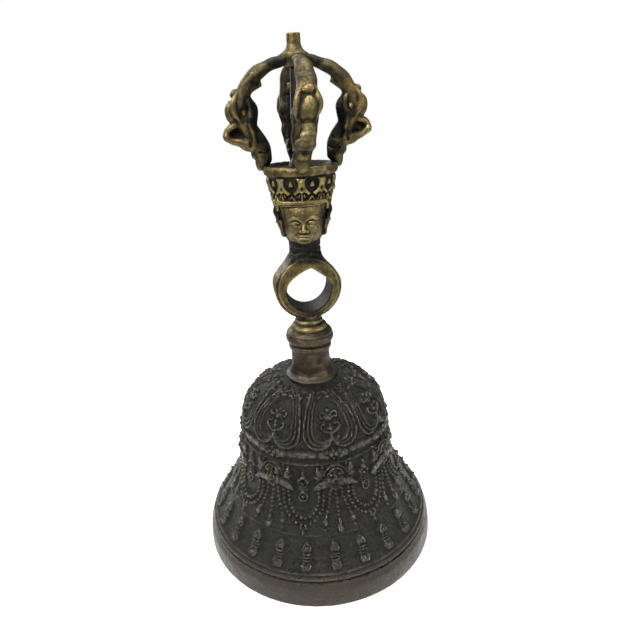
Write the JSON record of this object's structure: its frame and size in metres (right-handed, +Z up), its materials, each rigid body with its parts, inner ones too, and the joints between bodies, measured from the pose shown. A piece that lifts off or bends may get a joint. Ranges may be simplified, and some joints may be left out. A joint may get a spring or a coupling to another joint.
{
  "type": "tibetan bell",
  "caption": "Ritual hand bell: cast bronze bell with a flared lip, brass handle with finger ring, crowned head and vajra prongs, and a clapper on a link that swings inside.",
  "frame": {"origin": "centre of the ring the bell stands on, in the plane of the lip's foot", "axes": "+Z up along the handle; the head on the handle looks along -Y and its right hand side, seen by a viewer in front of it, is +X"},
  "size_m": [0.0886, 0.0886, 0.18],
  "materials": {
    "bell_bronze": "dark grey-brown patina, satin, rubbed lighter on the high relief",
    "socket_bronze": "brown patina, satin",
    "handle_brass": "aged brass, worn bright on the high points and near black in the recesses",
    "iron": "dull wrought iron",
    "clapper_brass": "dull brass"
  },
  "bodies": {
    "bell": {"bell_shell": "bell_bronze", "crown_socket": "socket_bronze", "collar_ring": "socket_bronze", "handle_foot": "handle_brass", "finger_ring": "handle_brass", "head": "handle_brass", "crown": "handle_brass", "prong_right": "handle_brass", "prong_back": "handle_brass", "prong_left": "handle_brass", "prong_front": "handle_brass", "centre_prong": "handle_brass", "finial": "handle_brass", "eye_bolt": "iron", "washer": "iron", "nut": "iron"},
    "link": {"clapper_link": "iron"},
    "clapper": {"clapper_rod": "iron", "clapper_ball": "clapper_brass", "clapper_nut": "clapper_brass"}
  },
  "joints": [
    {"name": "link_swing", "type": "hinge", "parent": "bell", "child": "link", "pos_m": [0, 0, 0.053], "axis": [1, 0, 0], "range_deg": [-30, 30]},
    {"name": "clapper_swing", "type": "hinge", "parent": "link", "child": "clapper", "pos_m": [0, 0, 0.0472], "axis": [0, 1, 0], "range_deg": [-30, 30]}
  ]
}
